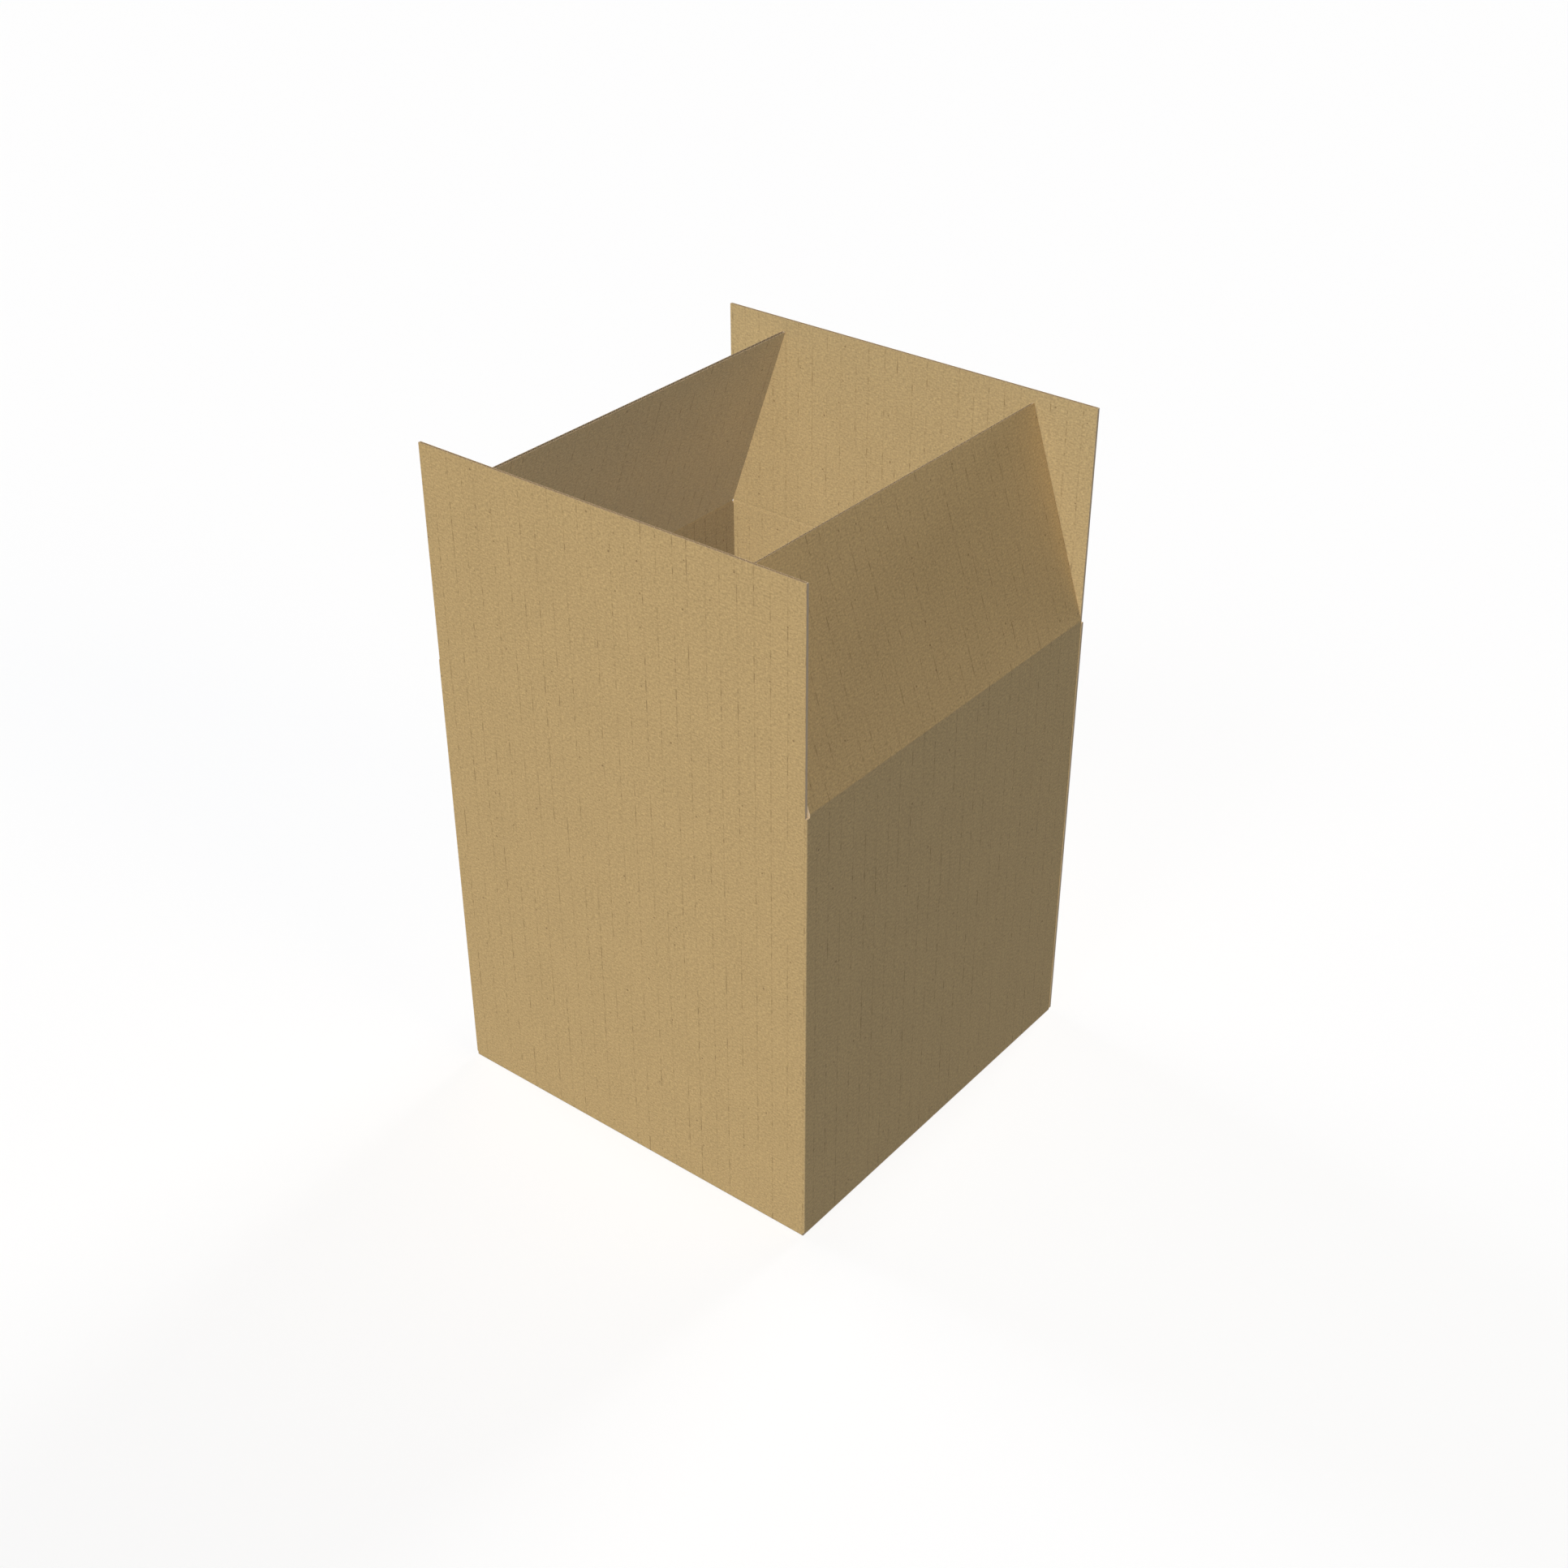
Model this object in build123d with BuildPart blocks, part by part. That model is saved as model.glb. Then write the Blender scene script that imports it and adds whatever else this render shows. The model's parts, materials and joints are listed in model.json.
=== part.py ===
from build123d import *
from math import atan2, degrees, radians, tan
from typing import NamedTuple
import os

# Regular slotted carton of single-wall corrugated board, standing open.
# The walls, the corner joint and the closed bottom are one sheet, folded and glued.
# The four top flaps turn on their creases, so each is a piece of its own.
# Lengths are in millimetres. +Z is up, the front faces -Y, the origin is at the middle of the bottom.

# Carton: inside plan, and height of the top creases above the floor
inside_width = 457
inside_depth = 457
crease_height = 511

# Board: two liners with upright flutes between them
board = 3.0
liner = 0.25
fluting = 0.4
flute_pitch = 6.35
flute_crest = 1.2
flute_end_depth = 12.0
flute_margin = 1.0

# Folds, and the flaps' creases, which are pressed in from the inside as far as the outer liner
fold_radius = 1.6
crease_bevel_angle = 47
crease_clearance = 0.1

# Flaps and the slots between them
major_flap_inset = 2.0
flap_clearance = 1.5
flap_meeting_gap = 1.0
slot_overcut = 0.3
left_flap_lean = 19.1
right_flap_lean = 18.4

# Corner joint: a glue tab behind the right end of the back wall
tab_width = 35.0
tab_taper = 12.0
tab_setback = 10.0
joint_groove = 1.2

# Sizes worked out from those above
outer_width = inside_width + 2 * board
outer_depth = inside_depth + 2 * board
flap_length = (min(outer_width, outer_depth) - flap_meeting_gap) / 2
minor_flap_inset = board + flap_clearance
major_flap_width = outer_width - 2 * major_flap_inset
minor_flap_width = outer_depth - 2 * minor_flap_inset
crease_gap = liner + crease_clearance / 2
bevel_rise = (board - liner) * tan(radians(crease_bevel_angle))
wall_top = crease_height - crease_gap
slot_foot = board + fold_radius + slot_overcut
slot_head = wall_top - bevel_rise - slot_overcut
flute_height = board - 2 * liner
flute_mouth = flute_pitch - flute_crest - 2 * fluting
flank_angle = degrees(atan2(flute_height, (flute_mouth - flute_crest) / 2))

up = Vector(0, 0, 1)


class Side(NamedTuple):
    """One side of the carton: a wall between two slots, with its bottom flap and its top flap."""

    outward: Vector
    reach: float  # from the middle of the carton to the wall's outer face
    width: float  # between the two slots
    bottom_crease: float  # height of the bottom flap's underside
    flap_lean: float  # how far the top flap leans in, in degrees


sides = {
    "front": Side(Vector(0, -1, 0), outer_depth / 2, major_flap_width, 0, 0),
    "right": Side(Vector(1, 0, 0), outer_width / 2, minor_flap_width, board, right_flap_lean),
    "back": Side(Vector(0, 1, 0), outer_depth / 2, major_flap_width, 0, 0),
    "left": Side(Vector(-1, 0, 0), outer_width / 2, minor_flap_width, board, left_flap_lean),
}

os.makedirs("parts", exist_ok=True)

with BuildPart() as carton_body:
    # Each wall and its bottom flap are one strip between two slots, folded to an L.
    # The bottom flaps of the side walls lie on those of the front and back walls.
    for side in sides.values():
        inner_end = side.reach - flap_length
        inner_face = side.reach - board
        floor_top = side.bottom_crease + board
        wall_plane = Plane(origin=(0, 0, 0), x_dir=side.outward, z_dir=side.outward.cross(up))
        with BuildSketch(wall_plane) as strip:
            with BuildLine():
                Polyline(
                    (inner_end, side.bottom_crease),
                    (side.reach, side.bottom_crease),
                    (side.reach, wall_top),
                    (side.reach - liner, wall_top),
                    (inner_face, wall_top - bevel_rise),
                    (inner_face, floor_top),
                    (inner_end, floor_top),
                    close=True,
                )
            make_face()
            bottom_fold = strip.vertices().group_by(Axis.Y)[0].sort_by(Axis.X)[-1]
            fillet(bottom_fold, fold_radius)
        extrude(amount=side.width / 2, both=True)

    # Corner folds between the slots, rounded outside and crushed sharp inside.
    # The back right corner is square: there the back wall ends in a cut edge over the glue tab.
    with BuildSketch(Plane.XY.offset(slot_foot)) as corner_folds:
        Rectangle(outer_width, outer_depth)
        corners = corner_folds.vertices().sort_by(Axis((0, 0, 0), (1, 1, 0)))
        fillet(corners[:-1], fold_radius)
        Rectangle(inside_width, inside_depth, mode=Mode.SUBTRACT)
        with Locations((outer_width / 2, inside_depth / 2)):
            RegularPolygon(joint_groove, 4, mode=Mode.SUBTRACT)
    extrude(amount=slot_head - slot_foot)

    # Glue tab, tapered at both ends
    with BuildSketch(Plane.XZ.offset(-inside_depth / 2)):
        with BuildLine():
            tab_root = inside_width / 2
            tab_foot = 2 * board + tab_setback
            tab_head = crease_height - tab_setback
            Polyline(
                (tab_root, tab_foot),
                (tab_root, tab_head),
                (tab_root - tab_width, tab_head - tab_taper),
                (tab_root - tab_width, tab_foot + tab_taper),
                close=True,
            )
        make_face()
    extrude(amount=board)

carton_body.part.label = "carton_body"
export_step(carton_body.part, "parts/carton_body.step")

for name, side in sides.items():
    # In the section across the crease, x runs in through the board and y up the flap
    crease_line = side.outward * side.reach + up * crease_height
    crease_axis = Axis((0, 0, 0), side.outward.cross(up))
    inward = -side.outward.rotate(crease_axis, side.flap_lean)
    flap_section = Plane(origin=crease_line, x_dir=inward, z_dir=inward.cross(up))
    free_edge = Plane(
        origin=flap_section.from_local_coords((0, flap_length, 0)),
        x_dir=flap_section.z_dir,
        z_dir=flap_section.y_dir,
    )
    flute_count = int((side.width - 2 * flute_margin - flute_mouth) / flute_pitch) + 1

    with BuildPart() as flap:
        # Flat panel, bevelled inside along its crease
        with BuildSketch(flap_section):
            with BuildLine():
                Polyline(
                    (0, crease_gap),
                    (liner, crease_gap),
                    (board, crease_gap + bevel_rise),
                    (board, flap_length),
                    (0, flap_length),
                    close=True,
                )
            make_face()
        extrude(amount=side.width / 2, both=True)

        # Open flute ends along the free edge, their mouths in turn at the outer and the inner liner
        with BuildSketch(free_edge):
            with Locations((0, board / 2)):
                with GridLocations(flute_pitch, flute_pitch, flute_count, 1):
                    Trapezoid(flute_mouth, flute_height, flank_angle)
                with GridLocations(flute_pitch, flute_pitch, flute_count - 1, 1):
                    Trapezoid(flute_mouth, flute_height, flank_angle, rotation=180)
        extrude(amount=-flute_end_depth, mode=Mode.SUBTRACT)

    flap.part.label = f"{name}_flap"
    export_step(flap.part, f"parts/{name}_flap.step")
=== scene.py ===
"""Open corrugated carton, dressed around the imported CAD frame.

The carton is one sheet of single-wall board: four walls, a glued bottom and four creased top flaps.
Lengths are in metres, +Z is up, the front faces -Y and the origin is at the middle of the bottom.
Every piece carries a map called "sheet" with its place on the flat sheet: u round the carton, across
the flutes, and v up the carton, along the flutes, so that the paper runs on unbroken over each crease.
"""

import json
import logging
import math
from dataclasses import dataclass, field
from enum import Enum, IntEnum
from typing import NamedTuple, Union

import bpy
import numpy as np
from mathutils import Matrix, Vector

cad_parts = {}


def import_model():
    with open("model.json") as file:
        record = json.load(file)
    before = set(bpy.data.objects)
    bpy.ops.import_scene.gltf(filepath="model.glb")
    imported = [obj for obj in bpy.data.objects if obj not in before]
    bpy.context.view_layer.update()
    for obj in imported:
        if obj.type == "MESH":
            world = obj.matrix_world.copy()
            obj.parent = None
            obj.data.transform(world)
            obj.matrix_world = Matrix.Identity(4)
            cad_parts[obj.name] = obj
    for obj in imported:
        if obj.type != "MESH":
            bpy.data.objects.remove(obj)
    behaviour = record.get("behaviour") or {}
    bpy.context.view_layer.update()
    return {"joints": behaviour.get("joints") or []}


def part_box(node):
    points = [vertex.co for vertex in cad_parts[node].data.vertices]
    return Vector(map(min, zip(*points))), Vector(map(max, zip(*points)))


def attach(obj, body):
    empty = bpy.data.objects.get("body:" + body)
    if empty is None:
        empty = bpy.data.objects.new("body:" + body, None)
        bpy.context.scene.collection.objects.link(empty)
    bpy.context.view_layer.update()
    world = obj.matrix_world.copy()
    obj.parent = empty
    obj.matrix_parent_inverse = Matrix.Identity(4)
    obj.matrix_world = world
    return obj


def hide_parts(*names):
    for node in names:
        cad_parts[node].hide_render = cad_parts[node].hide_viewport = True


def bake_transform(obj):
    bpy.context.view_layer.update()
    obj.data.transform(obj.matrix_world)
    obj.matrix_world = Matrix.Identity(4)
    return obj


log = logging.getLogger("carton")

SHEET_MAP = "sheet"
CARTON_BODY = "carton"
INSIDE_SHIFT = 7.3  # moves the inside liner's paper to another stretch of the pattern
SHARP_ANGLE = math.radians(50)  # steeper edges, such as the rims of the paper, are shaded sharp
UP = np.array([0.0, 0.0, 1.0])

Triple = tuple[float, float, float]
Colour = Triple
Socket = bpy.types.NodeSocket
Value = Union[Socket, float, tuple[float, ...]]


class Side(Enum):
    """The four sides of the carton, in the order in which the sheet runs round it."""

    FRONT = 0
    RIGHT = 1
    BACK = 2
    LEFT = 3

    @property
    def label(self) -> str:
        """The side's name as the CAD bodies and nodes spell it."""
        return self.name.lower()

    @property
    def outward(self) -> np.ndarray:
        """Unit vector out of the carton: -Y at the front, and a quarter turn on for each next side."""
        turn = self.value * math.pi / 2
        return np.round(np.array([math.sin(turn), -math.cos(turn), 0.0]))

    @property
    def along(self) -> np.ndarray:
        """Unit vector from left to right, as the side is seen from outside."""
        return np.cross(UP, self.outward)

    @property
    def major(self) -> bool:
        """True for the front and the back, whose bottom flaps lie outermost."""
        return self in (Side.FRONT, Side.BACK)


class WallEnd(Enum):
    """How a wall ends at a corner of the carton."""

    FOLD = "fold"
    JOINT_FOLD = "joint fold"
    CUT = "cut"


class Finish(IntEnum):
    """The paper surfaces of the board."""

    OUTER_LINER = 0
    INNER_LINER = 1
    # The fluted medium's darker paper, which also paints the shade inside the flutes.
    MEDIUM = 2
    CUT_EDGE = 3


class SlabFinish(NamedTuple):
    """The finishes of a slab's outer face, inner face and rims."""

    outer: Finish
    inner: Finish
    rim: Finish


FOLDED_BOARD = SlabFinish(Finish.OUTER_LINER, Finish.INNER_LINER, Finish.CUT_EDGE)
# The backs of the liners, which face into the flutes, wear the medium's darker finish: painted shade for
# the hollow flutes.
OUTER_SHEET = SlabFinish(Finish.OUTER_LINER, Finish.MEDIUM, Finish.CUT_EDGE)
MIDDLE_SHEET = SlabFinish(Finish.MEDIUM, Finish.MEDIUM, Finish.CUT_EDGE)
INNER_SHEET = SlabFinish(Finish.MEDIUM, Finish.INNER_LINER, Finish.CUT_EDGE)

Materials = dict[Finish, bpy.types.Material]


@dataclass(frozen=True)
class Board:
    """Single-wall corrugated board: two liners with a fluted medium between them."""

    thickness: float = 0.003
    liner: float = 0.00025
    medium: float = 0.00022
    flute_pitch: float = 0.00635
    washboard: float = 0.00003
    glue_squeeze: float = 0.00001

    def flute_wave(self, across: np.ndarray) -> np.ndarray:
        """Cosine across the flutes, 1 where the medium meets the outer liner and -1 at the inner liner."""
        return np.cos(2 * np.pi * across / self.flute_pitch)

    def outer_sag(self, across: np.ndarray) -> np.ndarray:
        """How far the outer liner sinks in between the flute tips that hold it."""
        return self.washboard * (1 - self.flute_wave(across)) / 2

    def inner_sag(self, across: np.ndarray) -> np.ndarray:
        """How far the inner liner sinks in between the flute tips that hold it."""
        return self.washboard * (1 + self.flute_wave(across)) / 2

    def columns(self, width: float, per_flute: int) -> np.ndarray:
        """Evenly spaced places across a panel.

        Args:
            width: The panel's width across the flutes.
            per_flute: Grid columns for each flute.

        Returns:
            Places from minus half the width to plus half of it.
        """
        count = round(width / self.flute_pitch * per_flute) + 1
        return np.linspace(-width / 2, width / 2, count)


@dataclass(frozen=True)
class CartonSizes:
    """The carton's main sizes. Those with no value here are measured on the CAD solids."""

    outer: float
    crease_height: float
    flap_length: float
    major_flap_width: float
    minor_flap_width: float
    slot_foot: float = 0.0049
    slot_drop: float = 0.00355
    fold_radius: float = 0.0016

    @classmethod
    def from_frame(cls, joints: list[dict]) -> "CartonSizes":
        """Measures the CAD solids.

        The front flap stands upright, so its box gives the flaps' length above the crease and the
        width of the major flaps. The right flap's box gives the width of the minor ones.

        Args:
            joints: The frame's joints, whose places are all on the creases.

        Returns:
            The sizes.
        """
        body_low, body_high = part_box("carton_body")
        front_low, front_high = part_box("front_flap")
        right_low, right_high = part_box("right_flap")
        crease_height = joints[0]["pos_m"][2]
        return cls(
            outer=body_high.x - body_low.x,
            crease_height=crease_height,
            flap_length=front_high.z - crease_height,
            major_flap_width=front_high.x - front_low.x,
            minor_flap_width=right_high.y - right_low.y,
        )

    @property
    def reach(self) -> float:
        """From the middle of the carton to a wall's outer face."""
        return self.outer / 2

    @property
    def slot_head(self) -> float:
        """Height of the top slots' lower ends, a little below the creases."""
        return self.crease_height - self.slot_drop

    def flap_width(self, side: Side) -> float:
        """Width of a side's top and bottom flaps, between its two slots."""
        return self.major_flap_width if side.major else self.minor_flap_width

    def sheet_middle(self, side: Side) -> float:
        """Where the middle of a side lies along the flat sheet."""
        return side.value * self.outer + self.reach


def smooth_step(share: np.ndarray) -> np.ndarray:
    """Runs from 0 to 1 with level ends: 3 s squared minus 2 s cubed."""
    s = np.clip(share, 0.0, 1.0)
    return s * s * (3 - 2 * s)


def placed(side: Side, across: np.ndarray, out: np.ndarray, height: np.ndarray) -> np.ndarray:
    """Turns places on a side into points of the carton.

    The point is across times the side's left-to-right vector, plus out times its outward vector,
    plus height upwards.

    Args:
        side: The side of the carton.
        across: Distance right of the side's middle, seen from outside.
        out: Distance from the carton's upright axis.
        height: Height above the floor.

    Returns:
        Points, with x, y and z along the last axis.
    """
    across, out, height = np.broadcast_arrays(across, out, height)
    return across[..., None] * side.along + out[..., None] * side.outward + height[..., None] * UP


def sheet_grid(u: np.ndarray, v: np.ndarray) -> np.ndarray:
    """Pairs places round the carton with places up it, as a grid of places on the flat sheet."""
    return np.stack(np.broadcast_arrays(u, v), axis=-1)


@dataclass
class PaperMesh:
    """Gathers closed slabs of paper into one mesh."""

    points: list[np.ndarray] = field(default_factory=list)
    quads: list[np.ndarray] = field(default_factory=list)
    sheet: list[np.ndarray] = field(default_factory=list)
    finish: list[np.ndarray] = field(default_factory=list)
    smooth: list[np.ndarray] = field(default_factory=list)
    total: int = 0

    def add_slab(
        self, outer: np.ndarray, inner: np.ndarray, sheet: np.ndarray, finish: SlabFinish
    ) -> None:
        """Adds a closed slab between two grids of the same size.

        Rows run up and columns run left to right, as the slab is seen from outside. The two faces
        are the grids themselves, and four rims join their borders. On the sheet a rim runs on from
        the slab's border by the slab's own depth.

        Args:
            outer: Points of the outer face, rows by columns by 3.
            inner: Points of the inner face behind them.
            sheet: Places on the flat sheet, rows by columns by 2.
            finish: The finishes of the faces and the rims.
        """
        rows, columns = outer.shape[:2]
        front = np.arange(rows * columns).reshape(rows, columns) + self.total
        back = front + rows * columns
        inside = sheet + np.array([INSIDE_SHIFT, 0.0])
        self._add_strip(front[:-1], front[1:], sheet[:-1], sheet[1:], finish.outer, True)
        self._add_strip(back[1:], back[:-1], inside[1:], inside[:-1], finish.inner, True)
        depth = np.linalg.norm(outer - inner, axis=-1, keepdims=True)
        beyond = depth * np.array([0.0, 1.0])
        foot, head = (sheet - beyond)[:1], (sheet + beyond)[-1:]
        self._add_strip(back[:1], front[:1], foot, sheet[:1], finish.rim, False)
        self._add_strip(front[-1:], back[-1:], sheet[-1:], head, finish.rim, False)
        turned = sheet.swapaxes(0, 1)
        beside = depth.swapaxes(0, 1) * np.array([1.0, 0.0])
        left, right = (turned - beside)[:1], (turned + beside)[-1:]
        self._add_strip(front.T[:1], back.T[:1], turned[:1], left, finish.rim, False)
        self._add_strip(back.T[-1:], front.T[-1:], right, turned[-1:], finish.rim, False)
        self.points += [outer.reshape(-1, 3), inner.reshape(-1, 3)]
        self.total += 2 * rows * columns

    def _add_strip(
        self,
        low: np.ndarray,
        high: np.ndarray,
        low_sheet: np.ndarray,
        high_sheet: np.ndarray,
        finish: Finish,
        smooth: bool,
    ) -> None:
        """Adds quads between neighbouring rows of point numbers.

        Each quad goes low left, low right, high right, high left.

        Args:
            low: Point numbers of the lower rows.
            high: Point numbers of the rows above them.
            low_sheet: Places on the sheet of the lower rows.
            high_sheet: Places on the sheet of the rows above them.
            finish: The finish that the quads wear.
            smooth: Whether they are shaded smooth.
        """
        quads = np.stack([low[:, :-1], low[:, 1:], high[:, 1:], high[:, :-1]], axis=-1).reshape(-1, 4)
        corners = [low_sheet[:, :-1], low_sheet[:, 1:], high_sheet[:, 1:], high_sheet[:, :-1]]
        self.quads.append(quads)
        self.sheet.append(np.stack(corners, axis=2).reshape(-1, 2))
        self.finish.append(np.full(len(quads), int(finish), np.int32))
        self.smooth.append(np.full(len(quads), smooth))

    def to_object(self, name: str, materials: Materials) -> bpy.types.Object:
        """Makes the Blender object.

        Args:
            name: The piece's name.
            materials: The material of each finish.

        Returns:
            The object, at the origin, with only the materials that it wears.
        """
        points, quads = np.concatenate(self.points), np.concatenate(self.quads)
        worn, slots = np.unique(np.concatenate(self.finish), return_inverse=True)
        mesh = bpy.data.meshes.new(name)
        mesh.vertices.add(len(points))
        mesh.vertices.foreach_set("co", points.astype(np.float32).ravel())
        mesh.loops.add(quads.size)
        mesh.loops.foreach_set("vertex_index", quads.astype(np.int32).ravel())
        mesh.polygons.add(len(quads))
        mesh.polygons.foreach_set("loop_start", np.arange(0, quads.size, 4, dtype=np.int32))
        mesh.polygons.foreach_set("material_index", slots.astype(np.int32).ravel())
        mesh.polygons.foreach_set("use_smooth", np.concatenate(self.smooth))
        layer = mesh.uv_layers.new(name=SHEET_MAP)
        layer.uv.foreach_set("vector", np.concatenate(self.sheet).astype(np.float32).ravel())
        for finish in worn:
            mesh.materials.append(materials[Finish(finish)])
        mesh.update(calc_edges=True)
        mesh.validate()
        mesh.set_sharp_from_angle(angle=SHARP_ANGLE)
        piece = bpy.data.objects.new(name, mesh)
        bpy.context.scene.collection.objects.link(piece)
        log.info("%s: %d points, %d faces", name, len(points), len(quads))
        return piece


def folded_panel(
    name: str, outer: np.ndarray, inner: np.ndarray, sheet: np.ndarray, materials: Materials
) -> bpy.types.Object:
    """Makes a piece that is a single slab of board.

    Args:
        name: The piece's name.
        outer: Points of the outer face, rows by columns by 3.
        inner: Points of the inner face behind them.
        sheet: Places on the flat sheet, rows by columns by 2.
        materials: The material of each finish.

    Returns:
        The piece.
    """
    mesh = PaperMesh()
    mesh.add_slab(outer, inner, sheet, FOLDED_BOARD)
    return mesh.to_object(name, materials)


class EndPlan(NamedTuple):
    """The end of a wall in plan: where its straight faces stop and the points after them."""

    straight: float
    outer_across: np.ndarray
    outer_out: np.ndarray
    inner_straight: float
    inner_across: np.ndarray


@dataclass
class Wall:
    """One upright wall between the bottom and top slots, from corner to corner."""

    side: Side
    left_end: WallEnd
    right_end: WallEnd
    sizes: CartonSizes
    board: Board = Board()
    per_flute: int = 6
    rows: int = 9
    fold_steps: int = 4

    def build(self, materials: Materials) -> bpy.types.Object:
        """Builds the wall as its plan carried up from the bottom slots to the top slots.

        In plan the outer face is straight and sinks in a little between the flutes, and at a folded
        end it rounds the corner on a circle. The inner face is straight up to the sharp inner corner.

        Args:
            materials: The material of each finish.

        Returns:
            The wall.
        """
        sizes, board = self.sizes, self.board
        left, right = self._end_plan(self.left_end), self._end_plan(self.right_end)
        start, stop = -left.straight, right.straight
        across = board.columns(sizes.outer, self.per_flute)
        across = np.concatenate([[start], across[(across > start) & (across < stop)], [stop]])
        straight_out = sizes.reach - board.outer_sag(across)
        outer_across = np.concatenate([-left.outer_across[::-1], across, right.outer_across])
        outer_out = np.concatenate([left.outer_out[::-1], straight_out, right.outer_out])
        inner_across = np.interp(across, [start, stop], [-left.inner_straight, right.inner_straight])
        inner_across = np.concatenate([-left.inner_across[::-1], inner_across, right.inner_across])
        inner_out = sizes.reach - board.thickness + board.inner_sag(inner_across)
        height = np.linspace(sizes.slot_foot, sizes.slot_head, self.rows)[:, None]
        outer = placed(self.side, outer_across, outer_out, height)
        inner = placed(self.side, inner_across, inner_out, height)
        sheet = sheet_grid(outer_across + sizes.sheet_middle(self.side), height)
        return folded_panel(f"{self.side.label}_wall", outer, inner, sheet, materials)

    def _end_plan(self, end: WallEnd) -> EndPlan:
        """The plan of one end of the wall, measured towards that end.

        A fold between two walls is half of a quarter circle, up to the corner's diagonal. The fold at
        the glued joint is the whole quarter, up to the face of the next wall, and a cut end is square.

        Args:
            end: How the wall ends.

        Returns:
            Where the straight faces stop and the points that follow them.
        """
        corner, radius = self.sizes.reach, self.sizes.fold_radius
        if end is WallEnd.CUT:
            nothing = np.zeros(0)
            return EndPlan(corner, nothing, nothing, corner, nothing)
        inner_end = corner - self.board.thickness
        face = corner if end is WallEnd.FOLD else inner_end
        sweep = math.pi / 4 if end is WallEnd.FOLD else math.pi / 2
        angle = np.linspace(0.0, sweep, self.fold_steps + 1)[1:]
        return EndPlan(
            straight=face - radius,
            outer_across=face - radius + radius * np.sin(angle),
            outer_out=corner - radius + radius * np.cos(angle),
            inner_straight=inner_end - radius,
            inner_across=np.linspace(inner_end - radius, inner_end, self.fold_steps + 1)[1:],
        )


@dataclass
class BottomFlap:
    """One bottom flap, folded in under the carton from the foot of its wall and glued shut."""

    side: Side
    sizes: CartonSizes
    board: Board = Board()
    per_flute: int = 4
    fold_steps: int = 6
    panel_rows: int = 7

    def build(self, materials: Materials) -> bpy.types.Object:
        """Builds the flap as an L-shaped profile carried along its crease.

        The profile starts at the flap's free edge near the middle of the bottom. Its underside runs
        out to the wall, rounds the fold on a quarter circle and rises to the wall's foot. Its upper
        side runs beside it to a sharp inner corner, and from there a board's thickness up the wall.

        Args:
            materials: The material of each finish.

        Returns:
            The flap.
        """
        sizes, board = self.sizes, self.board
        base = 0.0 if self.side.major else board.thickness
        radius, reach = sizes.fold_radius, sizes.reach
        inner_corner = reach - board.thickness
        panel = np.linspace(reach - sizes.flap_length, inner_corner - 2 * radius, self.panel_rows)
        angle = np.linspace(0.0, math.pi / 2, self.fold_steps)
        under_out = np.concatenate([panel, reach - radius + radius * np.sin(angle), [reach]])
        under_height = np.concatenate(
            [np.full(panel.size, base), base + radius - radius * np.cos(angle), [sizes.slot_foot]]
        )
        near_corner = np.linspace(inner_corner - radius, inner_corner, self.fold_steps)
        upper_out = np.concatenate([panel, near_corner, [inner_corner]])
        upper_height = np.full(upper_out.size, base + board.thickness)
        upper_height[-1] += board.thickness
        across = board.columns(sizes.flap_width(self.side), self.per_flute)
        flat = np.arange(under_out.size)[:, None] < panel.size
        sag, rise = flat * board.outer_sag(across), flat * board.inner_sag(across)
        outer = placed(self.side, across, under_out[:, None], under_height[:, None] + sag)
        inner = placed(self.side, across, upper_out[:, None], upper_height[:, None] - rise)
        steps = np.hypot(np.diff(under_out), np.diff(under_height))
        below_slot = np.concatenate([np.cumsum(steps[::-1])[::-1], [0.0]])[:, None]
        sheet = sheet_grid(across + sizes.sheet_middle(self.side), sizes.slot_foot - below_slot)
        return folded_panel(f"{self.side.label}_bottom_flap", outer, inner, sheet, materials)


@dataclass
class GlueTab:
    """The tab at the end of the right wall, glued behind the back wall."""

    sizes: CartonSizes
    width: float = 0.035
    taper: float = 0.012
    setback: float = 0.01
    board: Board = Board()
    per_flute: int = 6
    rows: int = 9

    def build(self, materials: Materials) -> bpy.types.Object:
        """Builds the tab as a flat panel whose foot and head slope in towards its tip.

        At a share s of the way from root to tip the panel runs from foot plus s times the taper
        to head minus s times the taper.

        Args:
            materials: The material of each finish.

        Returns:
            The tab.
        """
        sizes, board = self.sizes, self.board
        root = sizes.reach - board.thickness
        from_root = board.columns(self.width, self.per_flute) + self.width / 2
        slope = self.taper * from_root / self.width
        foot = 2 * board.thickness + self.setback + slope
        head = sizes.crease_height - self.setback - slope
        rise = np.linspace(0.0, 1.0, self.rows)[:, None]
        height = foot * (1 - rise) + head * rise
        across = from_root - root
        outer = placed(Side.BACK, across, root - board.outer_sag(across), height)
        inner = placed(Side.BACK, across, root - board.thickness + board.inner_sag(across), height)
        sheet = sheet_grid(from_root + sizes.sheet_middle(Side.RIGHT) + sizes.reach, height)
        return folded_panel("glue_tab", outer, inner, sheet, materials)


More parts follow.
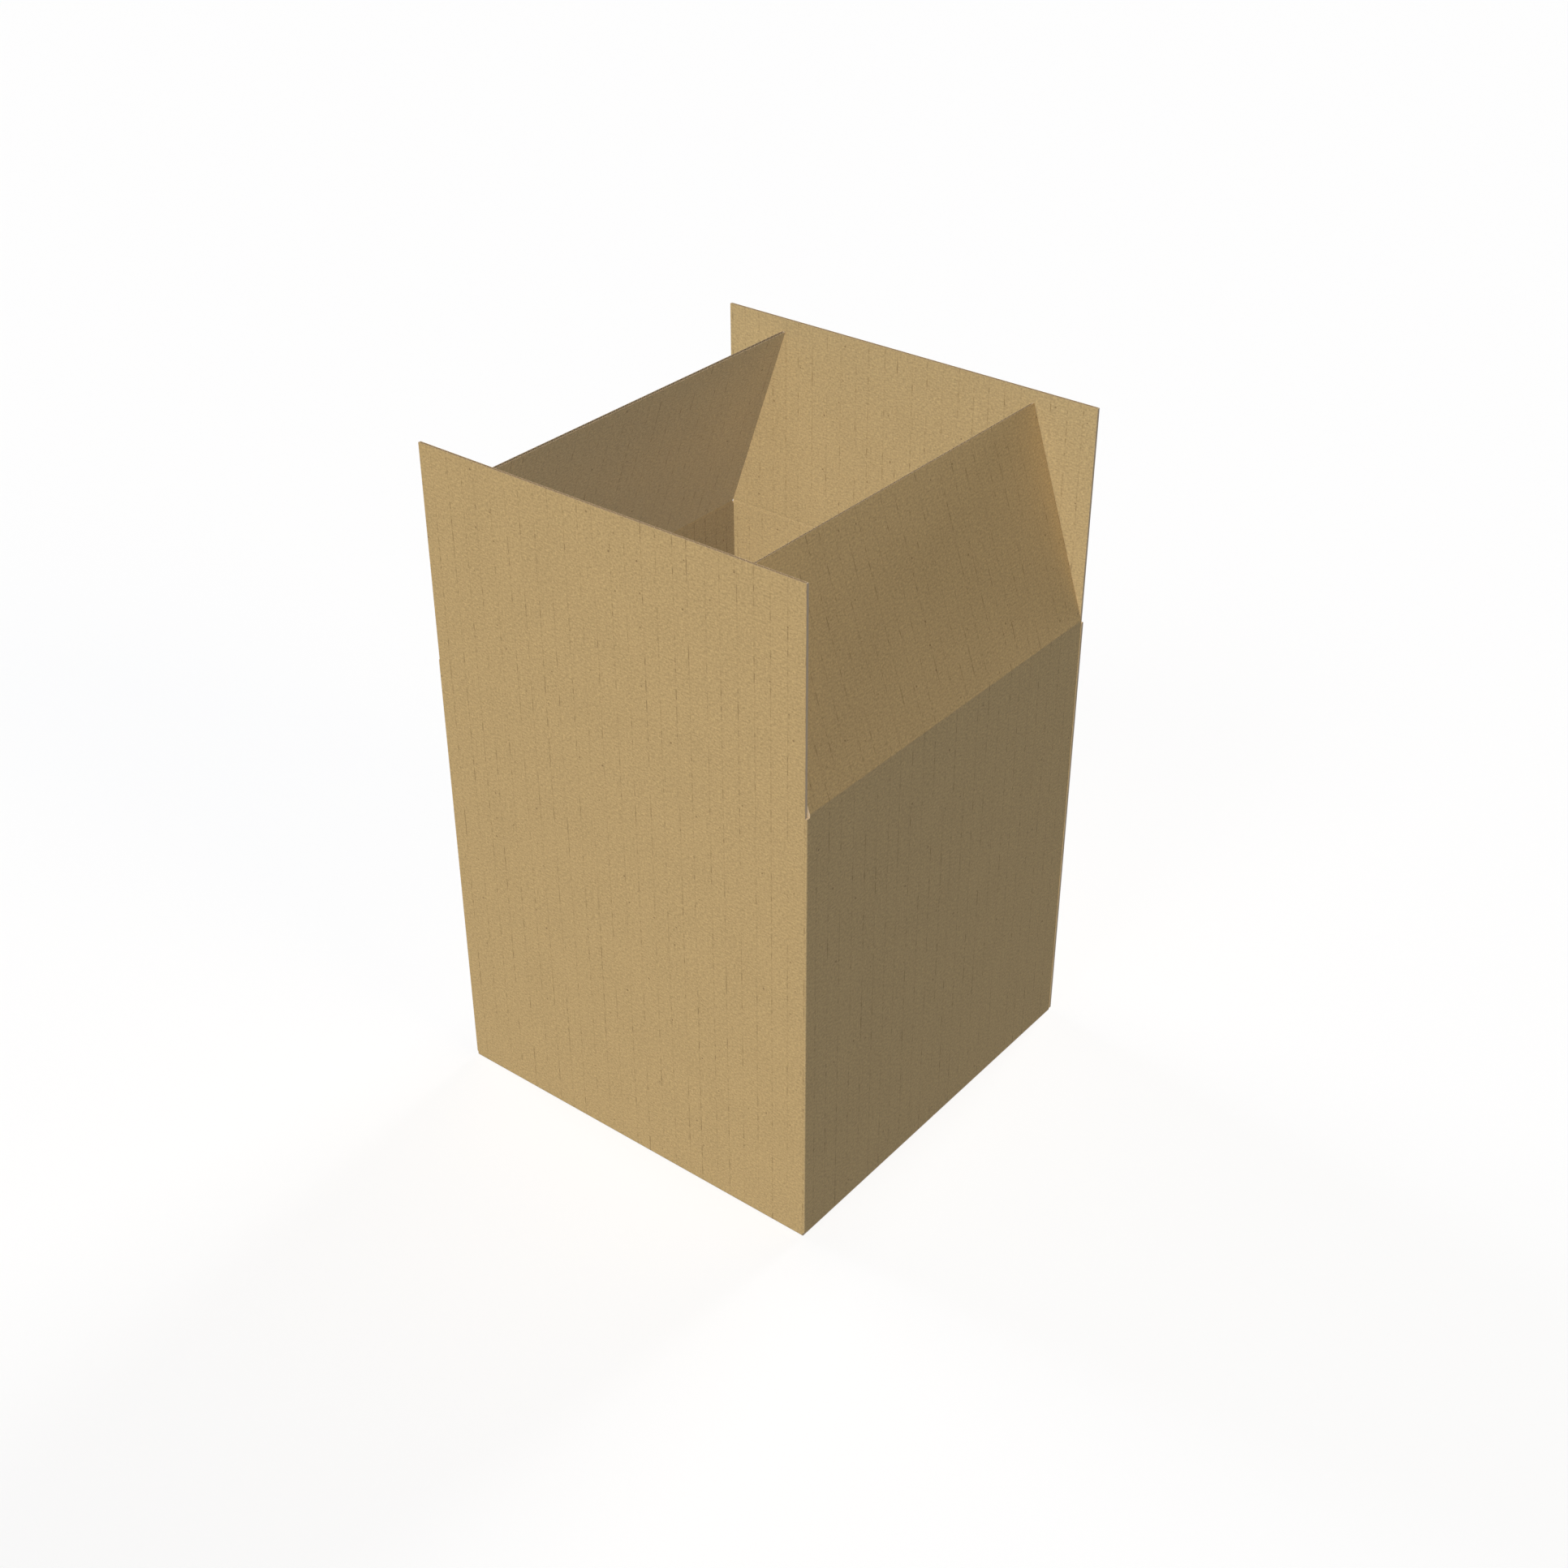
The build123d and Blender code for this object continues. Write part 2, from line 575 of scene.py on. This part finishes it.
@dataclass
class TopFlap:
    """One top flap with the pressed crease that it turns on, open at the flute ends."""

    side: Side
    sizes: CartonSizes
    lean_degrees: float = 0.0
    score_depth: float = 0.0003
    score_width: float = 0.0016
    bend_reach: float = 0.003
    pressed_edge: float = 0.001
    board: Board = Board()
    per_flute: int = 8
    crease_rows: int = 15
    panel_rows: int = 4

    @property
    def lean(self) -> float:
        """How far the flap leans in at rest, in radians."""
        return math.radians(self.lean_degrees)

    @property
    def width(self) -> float:
        """The flap's width between its slots."""
        return self.sizes.flap_width(self.side)

    def build(self, materials: Materials) -> bpy.types.Object:
        """Builds the flap as three closed layers: outer liner, fluted medium and inner liner.

        In the flat board, depth runs in from the outer face and rise up from the crease. The outer
        liner lies at depth 0, and the inner liner at the board's thickness less the pressed score, a
        bell curve of the rise. Along the two slots the board is pressed shut.

        Args:
            materials: The material of each finish.

        Returns:
            The flap.
        """
        board, mesh = self.board, PaperMesh()
        across = board.columns(self.width, self.per_flute)
        rise = self._rows()[:, None]
        back = board.thickness - self.score_depth * np.exp(-((rise / self.score_width) ** 2))
        outer_face, inner_face = board.outer_sag(across), back - board.inner_sag(across)
        self._add_layer(mesh, across, rise, outer_face, outer_face + board.liner, OUTER_SHEET)
        self._add_medium(mesh, rise, back)
        self._add_pressed_edges(mesh, rise, back)
        self._add_layer(mesh, across, rise, inner_face - board.liner, inner_face, INNER_SHEET)
        return mesh.to_object(f"{self.side.label}_top_flap", materials)

    def join(self, piece: bpy.types.Object) -> None:
        """Bakes the piece's placing into its mesh and hides the CAD flap that it stands for.

        Args:
            piece: The flap's object.
        """
        sizes, side = self.sizes, self.side
        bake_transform(piece)
        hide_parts(f"{side.label}_flap")

    def _rows(self) -> np.ndarray:
        """Rises of the grid rows: close together over the crease, then far apart up the flat panel."""
        drop = self.sizes.slot_drop
        crease = np.linspace(-drop, drop, self.crease_rows)
        panel = np.linspace(drop, self.sizes.flap_length, self.panel_rows + 1)[1:]
        return np.concatenate([crease, panel])

    def _add_medium(self, mesh: PaperMesh, rise: np.ndarray, back: np.ndarray) -> None:
        """Adds the fluted medium, a cosine across the flap that touches both liners.

        Its middle swings about half the board's depth, and its two faces lie half its thickness to
        either side, square to the slope of the wave.

        Args:
            mesh: The mesh to add to.
            rise: Places up the flap.
            back: Depth of the board's inner face.
        """
        board = self.board
        across = board.columns(self.width - 2 * self.pressed_edge, self.per_flute)
        swing = back / 2 - board.liner - board.medium / 2 + board.glue_squeeze
        middle = back / 2 - swing * board.flute_wave(across)
        turn = 2 * np.pi / board.flute_pitch
        slope = swing * turn * np.sin(turn * across)
        length = np.sqrt(1 + slope**2)
        shift, lift = board.medium / 2 * slope / length, board.medium / 2 / length
        outer = self._bent(across + shift, rise, middle - lift)
        inner = self._bent(across - shift, rise, middle + lift)
        mesh.add_slab(outer, inner, self._sheet(across, rise), MIDDLE_SHEET)

    def _add_pressed_edges(self, mesh: PaperMesh, rise: np.ndarray, back: np.ndarray) -> None:
        """Adds the strips along the two slots, where the cut has pressed the board shut.

        Args:
            mesh: The mesh to add to.
            rise: Places up the flap.
            back: Depth of the board's inner face.
        """
        board = self.board
        lap = board.liner - board.glue_squeeze
        for left in (-self.width / 2, self.width / 2 - self.pressed_edge):
            strip = np.array([left, left + self.pressed_edge])
            outer, inner = lap + board.outer_sag(strip), back - lap - board.inner_sag(strip)
            self._add_layer(mesh, strip, rise, outer, inner, MIDDLE_SHEET)

    def _add_layer(
        self,
        mesh: PaperMesh,
        across: np.ndarray,
        rise: np.ndarray,
        outer_depth: np.ndarray,
        inner_depth: np.ndarray,
        finish: SlabFinish,
    ) -> None:
        """Adds one flat layer to the mesh, such as a liner.

        Args:
            mesh: The mesh to add to.
            across: Places across the flap.
            rise: Places up the flap.
            outer_depth: Depth of the layer's outer face.
            inner_depth: Depth of its inner face.
            finish: The layer's finishes.
        """
        outer = self._bent(across, rise, outer_depth)
        inner = self._bent(across, rise, inner_depth)
        mesh.add_slab(outer, inner, self._sheet(across, rise), finish)

    def _sheet(self, across: np.ndarray, rise: np.ndarray) -> np.ndarray:
        """Places on the flat sheet for places across and up the flap."""
        sizes = self.sizes
        return sheet_grid(across + sizes.sheet_middle(self.side), rise + sizes.crease_height)

    def _bent(self, across: np.ndarray, rise: np.ndarray, depth: np.ndarray) -> np.ndarray:
        """Leans flat board in about the crease line on its outer face.

        The lean grows by a smooth step of the rise, from nothing just below the crease to all of it
        just above. A turn by that angle takes depth and rise to inwards and upwards.

        Args:
            across: Places across the flap.
            rise: Places up from the crease.
            depth: Depths in from the outer face.

        Returns:
            Points of the carton.
        """
        angle = self.lean * smooth_step((rise / self.bend_reach + 1) / 2)
        inwards = depth * np.cos(angle) + rise * np.sin(angle)
        upwards = rise * np.cos(angle) - depth * np.sin(angle)
        sizes = self.sizes
        return placed(self.side, across, sizes.reach - inwards, sizes.crease_height + upwards)


class NodeBench:
    """Adds nodes to one shader tree and joins them."""

    def __init__(self, tree: bpy.types.NodeTree) -> None:
        """Takes the tree to work on."""
        self.tree = tree

    def feed(self, socket: Socket, value: Value) -> None:
        """Joins a socket to an input, or sets the input to a plain value."""
        if isinstance(value, Socket):
            self.tree.links.new(value, socket)
        else:
            socket.default_value = value

    def add(
        self, kind: str, inputs: dict[str | int, Value] | None = None, **settings: object
    ) -> bpy.types.Node:
        """Adds a node.

        Args:
            kind: The node's type, without the ShaderNode in front.
            inputs: Sockets by name or number, each with a socket to join or a value to set.
            settings: The node's own properties.

        Returns:
            The node.
        """
        node = self.tree.nodes.new(f"ShaderNode{kind}")
        for name, value in settings.items():
            setattr(node, name, value)
        for name, value in (inputs or {}).items():
            self.feed(node.inputs[name], value)
        return node

    def math(self, operation: str, *values: Value) -> Socket:
        """Adds a Math node on sockets or numbers and returns its result."""
        return self.add("Math", dict(enumerate(values)), operation=operation).outputs[0]

    def ramp(self, value: Value, low: float, high: float, start: float, stop: float) -> Socket:
        """Maps a value from low..high to start..stop, smoothly and held at both ends."""
        inputs = {"Value": value, "From Min": low, "From Max": high, "To Min": start, "To Max": stop}
        return self.add("MapRange", inputs, interpolation_type="SMOOTHSTEP").outputs["Result"]

    def noise(self, place: Socket, scale: float, detail: float, rough: float) -> Socket:
        """Adds a Noise Texture and returns its value, which is about 0.5 on average."""
        inputs = {"Vector": place, "Scale": scale, "Detail": detail, "Roughness": rough}
        return self.add("TexNoise", inputs).outputs[0]

    def stretched(self, place: Socket, scale: Triple) -> Socket:
        """Scales a place by its own factor along each axis."""
        return self.add("Mapping", {"Vector": place, "Scale": scale}).outputs[0]

    def mix_colour(self, share: Value, first: Value, second: Value) -> Socket:
        """Mixes two colours by a share and returns the colour."""
        node = self.add("Mix", data_type="RGBA")
        sockets = {s.identifier: s for s in node.inputs}
        for name, value in (("Factor_Float", share), ("A_Color", first), ("B_Color", second)):
            self.feed(sockets[name], value)
        return next(s for s in node.outputs if s.identifier == "Result_Color")


class GroupBench(NodeBench):
    """A bench on a new shader group that reads the sheet map."""

    def __init__(self, name: str, numbers: dict[str, float], outputs: tuple[str, ...]) -> None:
        """Makes the group.

        Args:
            name: The group's name.
            numbers: Its number inputs with their usual values.
            outputs: Its value outputs.
        """
        super().__init__(bpy.data.node_groups.new(name, "ShaderNodeTree"))
        sockets = self.tree.interface
        sockets.new_socket("Sheet", in_out="INPUT", socket_type="NodeSocketVector")
        for number, value in numbers.items():
            socket = sockets.new_socket(number, in_out="INPUT", socket_type="NodeSocketFloat")
            socket.default_value = value
        for output in outputs:
            sockets.new_socket(output, in_out="OUTPUT", socket_type="NodeSocketFloat")
        self.given = self.tree.nodes.new("NodeGroupInput").outputs
        self.result = self.tree.nodes.new("NodeGroupOutput").inputs


@dataclass(frozen=True)
class PaperGrain:
    """Faint clouds, a pebbled felt mark, and coarse and fine fibres that lie across the flutes.

    Scales are repeats in a metre of the sheet. The fine fibres waver, by a length in metres.
    """

    cloud_scale: float = 22.0
    pebble_scale: float = 460.0
    fibre_scale: Triple = (200.0, 700.0, 1.0)
    fine_scale: Triple = (900.0, 3600.0, 1.0)
    waver_scale: float = 900.0
    waver: float = 0.0006
    cloud_share: float = 0.05
    pebble_share: float = 0.45
    fibre_share: float = 0.35
    fine_share: float = 0.15
    pebble_relief: float = 0.6
    fibre_relief: float = 0.4

    def group(self) -> bpy.types.NodeTree:
        """Builds the group, whose tone and relief are weighted sums of noises."""
        bench = GroupBench("paper_grain", {"Coarseness": 1.0}, ("Tone", "Relief"))
        given = {0: bench.given["Sheet"], "Scale": bench.given["Coarseness"]}
        place = bench.add("VectorMath", given, operation="SCALE").outputs[0]
        clouds = bench.noise(place, self.cloud_scale, detail=2.0, rough=0.5)
        pebbles = bench.noise(place, self.pebble_scale, detail=3.0, rough=0.6)
        fibre_place = bench.stretched(place, self.fibre_scale)
        fibres = bench.noise(fibre_place, scale=1.0, detail=3.0, rough=0.65)
        waver = {"Vector": place, "Scale": self.waver_scale, "Detail": 0.0}
        waver = {0: bench.add("TexNoise", waver).outputs["Color"], 1: (self.waver,) * 3, 2: place}
        wavering = bench.add("VectorMath", waver, operation="MULTIPLY_ADD").outputs[0]
        fine_place = bench.stretched(wavering, self.fine_scale)
        fine = bench.noise(fine_place, scale=1.0, detail=2.0, rough=0.6)
        tone = bench.math("MULTIPLY", pebbles, self.pebble_share)
        tone = bench.math("MULTIPLY_ADD", clouds, self.cloud_share, tone)
        tone = bench.math("MULTIPLY_ADD", fibres, self.fibre_share, tone)
        tone = bench.math("MULTIPLY_ADD", fine, self.fine_share, tone)
        relief = bench.math("MULTIPLY", fibres, self.fibre_relief)
        relief = bench.math("MULTIPLY_ADD", pebbles, self.pebble_relief, relief)
        bench.feed(bench.result["Tone"], tone)
        bench.feed(bench.result["Relief"], relief)
        return bench.tree


@dataclass(frozen=True)
class FluteMarks:
    """Thin dark lines along every third flute, scuffed over its tip: they come and go, in dashes.

    The drift is a share of the spacing, and the line fades out at line_fade half widths. A dash shows
    where a noise is above the level. Slower noise leaves whole stretches of a line faint.
    """

    spacing: float = 0.0184
    half_width: float = 0.0009
    dash_length: float = 0.0095
    level: float = 0.48
    drift: float = 0.08
    line_fade: float = 1.1
    dash_fade: float = 0.16
    gap_strength: float = 0.2
    stretch_rate: float = 0.2
    stretch_low: float = 0.3
    stretch_high: float = 0.6
    faint_strength: float = 0.1
    column_step: float = 17.31  # keeps the noises of neighbouring lines apart

    def group(self) -> bpy.types.NodeTree:
        """Builds the group, whose mark is 1 along the middle of a line and 0 on bare paper."""
        numbers = {
            "Spacing": self.spacing,
            "Half Width": self.half_width,
            "Dash Length": self.dash_length,
            "Level": self.level,
        }
        bench = GroupBench("flute_marks", numbers, ("Mark",))
        given = bench.given
        parts = bench.add("SeparateXYZ", {"Vector": given["Sheet"]}).outputs
        column_place = bench.math("DIVIDE", parts["X"], given["Spacing"])
        column = bench.math("ROUND", column_place)
        chance = bench.add("TexWhiteNoise", {"W": column}, noise_dimensions="1D").outputs["Value"]
        drift = bench.math("MULTIPLY_ADD", chance, 2 * self.drift, -self.drift)
        offset = bench.math("SUBTRACT", bench.math("SUBTRACT", column_place, column), drift)
        distance = bench.math("MULTIPLY", bench.math("ABSOLUTE", offset), given["Spacing"])
        distance = bench.math("DIVIDE", distance, given["Half Width"])
        line = bench.ramp(distance, low=0.0, high=self.line_fade, start=1.0, stop=0.0)
        run = bench.math("DIVIDE", parts["Y"], given["Dash Length"])
        row = bench.math("MULTIPLY", column, self.column_step)
        quick = bench.add("CombineXYZ", {"X": row, "Y": run}).outputs[0]
        above = bench.noise(quick, scale=1.0, detail=1.0, rough=0.6)
        above = bench.math("SUBTRACT", above, given["Level"])
        dash = bench.ramp(above, low=0.0, high=self.dash_fade, start=self.gap_strength, stop=1.0)
        slow_run = bench.math("MULTIPLY", run, self.stretch_rate)
        slow = bench.add("CombineXYZ", {"X": row, "Y": slow_run}).outputs[0]
        stretch = bench.noise(slow, scale=1.0, detail=1.0, rough=0.5)
        stretch = bench.ramp(stretch, self.stretch_low, self.stretch_high, self.faint_strength, 1.0)
        strength = bench.math("MULTIPLY", dash, stretch)
        bench.feed(bench.result["Mark"], bench.math("MULTIPLY", line, strength))
        return bench.tree


@dataclass(frozen=True)
class PulpSpecks:
    """Small dark flecks of bark and ink in the pulp, a few in each hand's breadth.

    The density is cells in a metre, and a share of the cells holds a speck.
    """

    density: float = 34.0
    radius: float = 0.0012
    share: float = 0.4
    least_size_share: float = 0.4
    core_share: float = 0.35

    def group(self) -> bpy.types.NodeTree:
        """Builds the group, whose speck is 1 at the core of a fleck and 0 on bare paper."""
        numbers = {"Density": self.density, "Radius": self.radius, "Share": self.share}
        bench = GroupBench("pulp_specks", numbers, ("Speck",))
        given = bench.given
        cells = {"Vector": given["Sheet"], "Scale": given["Density"]}
        cells = bench.add("TexVoronoi", cells, voronoi_dimensions="2D").outputs
        chance = bench.add("SeparateColor", {"Color": cells["Color"]}).outputs
        here = bench.math("LESS_THAN", chance["Red"], given["Share"])
        size_share = bench.math("ADD", chance["Green"], self.least_size_share)
        size = bench.math("MULTIPLY", given["Radius"], size_share)
        distance = bench.math("DIVIDE", cells["Distance"], given["Density"])
        distance = bench.math("DIVIDE", distance, size)
        spot = bench.ramp(distance, low=self.core_share, high=1.0, start=1.0, stop=0.0)
        bench.feed(bench.result["Speck"], bench.math("MULTIPLY", spot, here))
        return bench.tree


class PaperEffects(NamedTuple):
    """The shader groups that the paper finishes share, each built once."""

    grain: bpy.types.NodeTree
    flute_marks: bpy.types.NodeTree
    specks: bpy.types.NodeTree


@dataclass(frozen=True)
class PaperFinish:
    """One paper surface: its colour, how that varies, and how it takes the light.

    The values given here are a liner's. Roughness goes from its first value to its second over the
    tone range, and the mark depth is a share of the relief.
    """

    name: str
    colour: Colour
    tone_swing: float = 1.0
    coarseness: float = 1.0
    relief: float = 0.00025
    mark_share: float = 0.7
    mark_depth: float = 0.3
    speck_share: float = 0.65
    mark_colour: Colour = (0.2, 0.13, 0.06)
    speck_colour: Colour = (0.16, 0.1, 0.05)
    tone_range: tuple[float, float] = (0.3, 0.7)
    roughness: tuple[float, float] = (0.84, 0.95)
    shine: float = 0.1

    def material(self, effects: PaperEffects) -> bpy.types.Material:
        """Builds the material.

        Args:
            effects: The shared shader groups.

        Returns:
            The material, which reads the sheet map.
        """
        made = bpy.data.materials.new(self.name)
        made.use_nodes = True
        bench = NodeBench(made.node_tree)
        sheet = bench.add("UVMap", uv_map=SHEET_MAP).outputs[0]
        grain = {"Sheet": sheet, "Coarseness": self.coarseness}
        grain = bench.add("Group", grain, node_tree=effects.grain).outputs
        dark, light = self._swing(1 - self.tone_swing), self._swing(1 + self.tone_swing)
        colour = bench.mix_colour(grain["Tone"], dark, light)
        height = grain["Relief"]
        if self.mark_share:
            mark = bench.add("Group", {"Sheet": sheet}, node_tree=effects.flute_marks).outputs["Mark"]
            share = bench.math("MULTIPLY", mark, self.mark_share)
            colour = bench.mix_colour(share, colour, (*self.mark_colour, 1.0))
            height = bench.math("MULTIPLY_ADD", mark, -self.mark_depth, height)
        if self.speck_share:
            speck = bench.add("Group", {"Sheet": sheet}, node_tree=effects.specks).outputs["Speck"]
            share = bench.math("MULTIPLY", speck, self.speck_share)
            colour = bench.mix_colour(share, colour, (*self.speck_colour, 1.0))
        bump = bench.add("Bump", {"Strength": 1.0, "Distance": self.relief, "Height": height})
        shader = made.node_tree.nodes["Principled BSDF"].inputs
        bench.feed(shader["Base Color"], colour)
        bench.feed(shader["Roughness"], bench.ramp(grain["Tone"], *self.tone_range, *self.roughness))
        bench.feed(shader["Normal"], bump.outputs[0])
        bench.feed(shader["Specular IOR Level"], self.shine)
        return made

    def _swing(self, factor: float) -> tuple[float, ...]:
        """The colour times a factor, with alpha."""
        return (*(factor * c for c in self.colour), 1.0)


FINISHES = {
    Finish.OUTER_LINER: PaperFinish("outer_liner", colour=(0.47, 0.33, 0.153)),
    # The inner liner is a cooler copy of the outer liner's colour: a painted cool tint that cancels the
    # warm light bounced round inside the carton.
    Finish.INNER_LINER: PaperFinish("inner_liner", colour=(0.458, 0.338, 0.168)),
    # The medium is darker than the liners: partly the greyer paper of a fluting medium, partly painted
    # shade for the hollow flutes, which the shadowless lamps light as brightly as open faces.
    Finish.MEDIUM: PaperFinish(
        "fluted_medium_with_painted_shade",
        colour=(0.3, 0.21, 0.11),
        tone_swing=0.3,
        coarseness=1.4,
        relief=0.0001,
        mark_share=0.0,
        speck_share=0.0,
    ),
    Finish.CUT_EDGE: PaperFinish(
        "cut_edge",
        colour=(0.52, 0.395, 0.25),
        tone_swing=0.35,
        coarseness=4.0,
        relief=0.00008,
        mark_share=0.0,
        speck_share=0.0,
    ),
}


@dataclass
class Carton:
    """The whole carton: walls, bottom, glued joint and top flaps, which lean in by degrees."""

    sizes: CartonSizes
    right_lean: float = 18.4
    left_lean: float = 19.1

    def build(self, materials: Materials) -> None:
        """Builds every piece and sets the walls, bottom flaps and glue tab on the carton's body.

        Args:
            materials: The material of each finish.
        """
        sizes = self.sizes
        walls = [
            Wall(Side.FRONT, WallEnd.FOLD, WallEnd.FOLD, sizes),
            Wall(Side.RIGHT, WallEnd.FOLD, WallEnd.JOINT_FOLD, sizes),
            Wall(Side.BACK, WallEnd.CUT, WallEnd.FOLD, sizes),
            Wall(Side.LEFT, WallEnd.FOLD, WallEnd.FOLD, sizes),
        ]
        bottom = [BottomFlap(side, sizes) for side in Side]
        for part in [*walls, *bottom, GlueTab(sizes)]:
            piece = part.build(materials)
            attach(piece, CARTON_BODY)
            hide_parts("carton_body")
        leans = {Side.RIGHT: self.right_lean, Side.LEFT: self.left_lean}
        for side in Side:
            flap = TopFlap(side, sizes, leans.get(side, 0.0))
            flap.join(flap.build(materials))


@dataclass(frozen=True)
class Lamp:
    """A distant lamp. Azimuth 0 shines on the front of the carton and 90 on its right side."""

    name: str
    azimuth: float
    elevation: float
    strength: float
    colour: Colour = (1.0, 1.0, 1.0)
    softness: float = 20.0
    shadow: bool = False

    def hang(self) -> None:
        """Adds the lamp to the scene."""
        light = bpy.data.lights.new(self.name, "SUN")
        light.energy, light.color = self.strength * math.pi, self.colour
        light.angle = math.radians(self.softness)
        light.use_shadow = self.shadow
        turn, rise = math.radians(self.azimuth), math.radians(self.elevation)
        flat = math.cos(rise)
        source = Vector((math.sin(turn) * flat, -math.cos(turn) * flat, math.sin(rise)))
        lamp = bpy.data.objects.new(self.name, light)
        lamp.rotation_euler = (-source).to_track_quat("-Z", "Y").to_euler()
        bpy.context.scene.collection.objects.link(lamp)


WARM = (1.0, 0.76, 0.43)
COOL = (0.8, 0.86, 1.0)
BLUISH = (0.48, 0.665, 1.0)

LAMPS = (
    Lamp("key", azimuth=0.0, elevation=43.0, strength=1.06),
    Lamp("key_with_shadow", azimuth=0.0, elevation=40.0, strength=0.07, shadow=True),
    Lamp("right_fill", azimuth=90.0, elevation=-55.0, strength=0.465, colour=BLUISH),
    Lamp(
        "right_fill_with_shadow", azimuth=90.0, elevation=25.0, strength=0.108, colour=WARM, shadow=True
    ),
    Lamp("left_fill", azimuth=270.0, elevation=12.0, strength=0.4, colour=COOL, shadow=True),
    Lamp("back_fill", azimuth=180.0, elevation=12.0, strength=0.6, shadow=True),
)


@dataclass
class Studio:
    """A pale floor, soft even light with its key at the front, and the camera.

    The floor throws back floor_bounce of the light. To the camera it shows floor_shown of it, with
    its shadows, plus a plain glow of floor_white. The camera's lens and sensor are in millimetres.
    """

    floor_size: float = 60.0
    floor_bounce: float = 0.2
    floor_shown: float = 0.4
    floor_white: float = 0.57
    sky_strength: float = 0.05
    sky_colour: Colour = (0.9, 0.95, 1.0)
    camera_place: Triple = (1.20314, -1.49948, 1.5819)
    camera_target: Triple = (0.01461, 0.01149, 0.33498)
    lens: float = 50.0
    sensor: float = 36.0

    def build(self) -> None:
        """Sets up the floor, the light and the camera."""
        self._floor()
        for lamp in LAMPS:
            lamp.hang()
        self._sky()
        self._camera()
        bpy.context.scene.view_settings.view_transform = "Standard"

    @staticmethod
    def _seen(bench: NodeBench) -> Socket:
        """1 for rays from the camera, from mirrors and through glass, which see the white background."""
        path = bench.add("LightPath").outputs
        direct = bench.math("MAXIMUM", path["Is Camera Ray"], path["Is Glossy Ray"])
        return bench.math("MAXIMUM", direct, path["Is Transmission Ray"])

    def _floor(self) -> None:
        """Lays a pale floor that shows white and keeps the carton's shadow."""
        half = self.floor_size / 2
        mesh = bpy.data.meshes.new("floor")
        corners = [(-half, -half, 0.0), (half, -half, 0.0), (half, half, 0.0), (-half, half, 0.0)]
        mesh.from_pydata(corners, [], [(0, 1, 2, 3)])
        floor = bpy.data.objects.new("floor", mesh)
        bpy.context.scene.collection.objects.link(floor)
        material = bpy.data.materials.new("pale_floor")
        material.use_nodes = True
        material.node_tree.nodes.clear()
        bench = NodeBench(material.node_tree)
        bounce = bench.add("BsdfDiffuse", {"Color": (*[self.floor_bounce] * 3, 1.0)})
        shown = bench.add("BsdfDiffuse", {"Color": (*[self.floor_shown] * 3, 1.0)})
        white = bench.add("Emission", {"Strength": self.floor_white})
        lit = bench.add("AddShader", {0: shown.outputs[0], 1: white.outputs[0]})
        seen = self._seen(bench)
        mixed = bench.add("MixShader", {0: seen, 1: bounce.outputs[0], 2: lit.outputs[0]})
        bench.add("OutputMaterial", {"Surface": mixed.outputs[0]})
        mesh.materials.append(material)

    def _sky(self) -> None:
        """Sets an even, slightly cool sky that shows white."""
        world = bpy.data.worlds.new("studio")
        world.use_nodes = True
        world.node_tree.nodes.clear()
        bench = NodeBench(world.node_tree)
        colour = (*self.sky_colour, 1.0)
        glow = bench.add("Background", {"Color": colour, "Strength": self.sky_strength})
        white = bench.add("Background", {"Color": (1.0, 1.0, 1.0, 1.0), "Strength": 1.0})
        seen = self._seen(bench)
        mixed = bench.add("MixShader", {0: seen, 1: glow.outputs[0], 2: white.outputs[0]})
        bench.add("OutputWorld", {"Surface": mixed.outputs[0]})
        bpy.context.scene.world = world

    def _camera(self) -> None:
        """Stands the camera at the photograph's place."""
        data = bpy.data.cameras.new("camera")
        data.lens, data.sensor_width = self.lens, self.sensor
        camera = bpy.data.objects.new("camera", data)
        camera.location = self.camera_place
        aim = Vector(self.camera_target) - Vector(self.camera_place)
        camera.rotation_euler = aim.to_track_quat("-Z", "Y").to_euler()
        bpy.context.scene.collection.objects.link(camera)
        bpy.context.scene.camera = camera


def main() -> None:
    """Loads the frame, dresses the carton and sets up the studio."""
    logging.basicConfig(level=logging.INFO, format="%(name)s: %(message)s")
    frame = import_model()
    effects = PaperEffects(PaperGrain().group(), FluteMarks().group(), PulpSpecks().group())
    materials = {kind: finish.material(effects) for kind, finish in FINISHES.items()}
    Carton(CartonSizes.from_frame(frame["joints"])).build(materials)
    Studio().build()


if __name__ == "__main__":
    main()
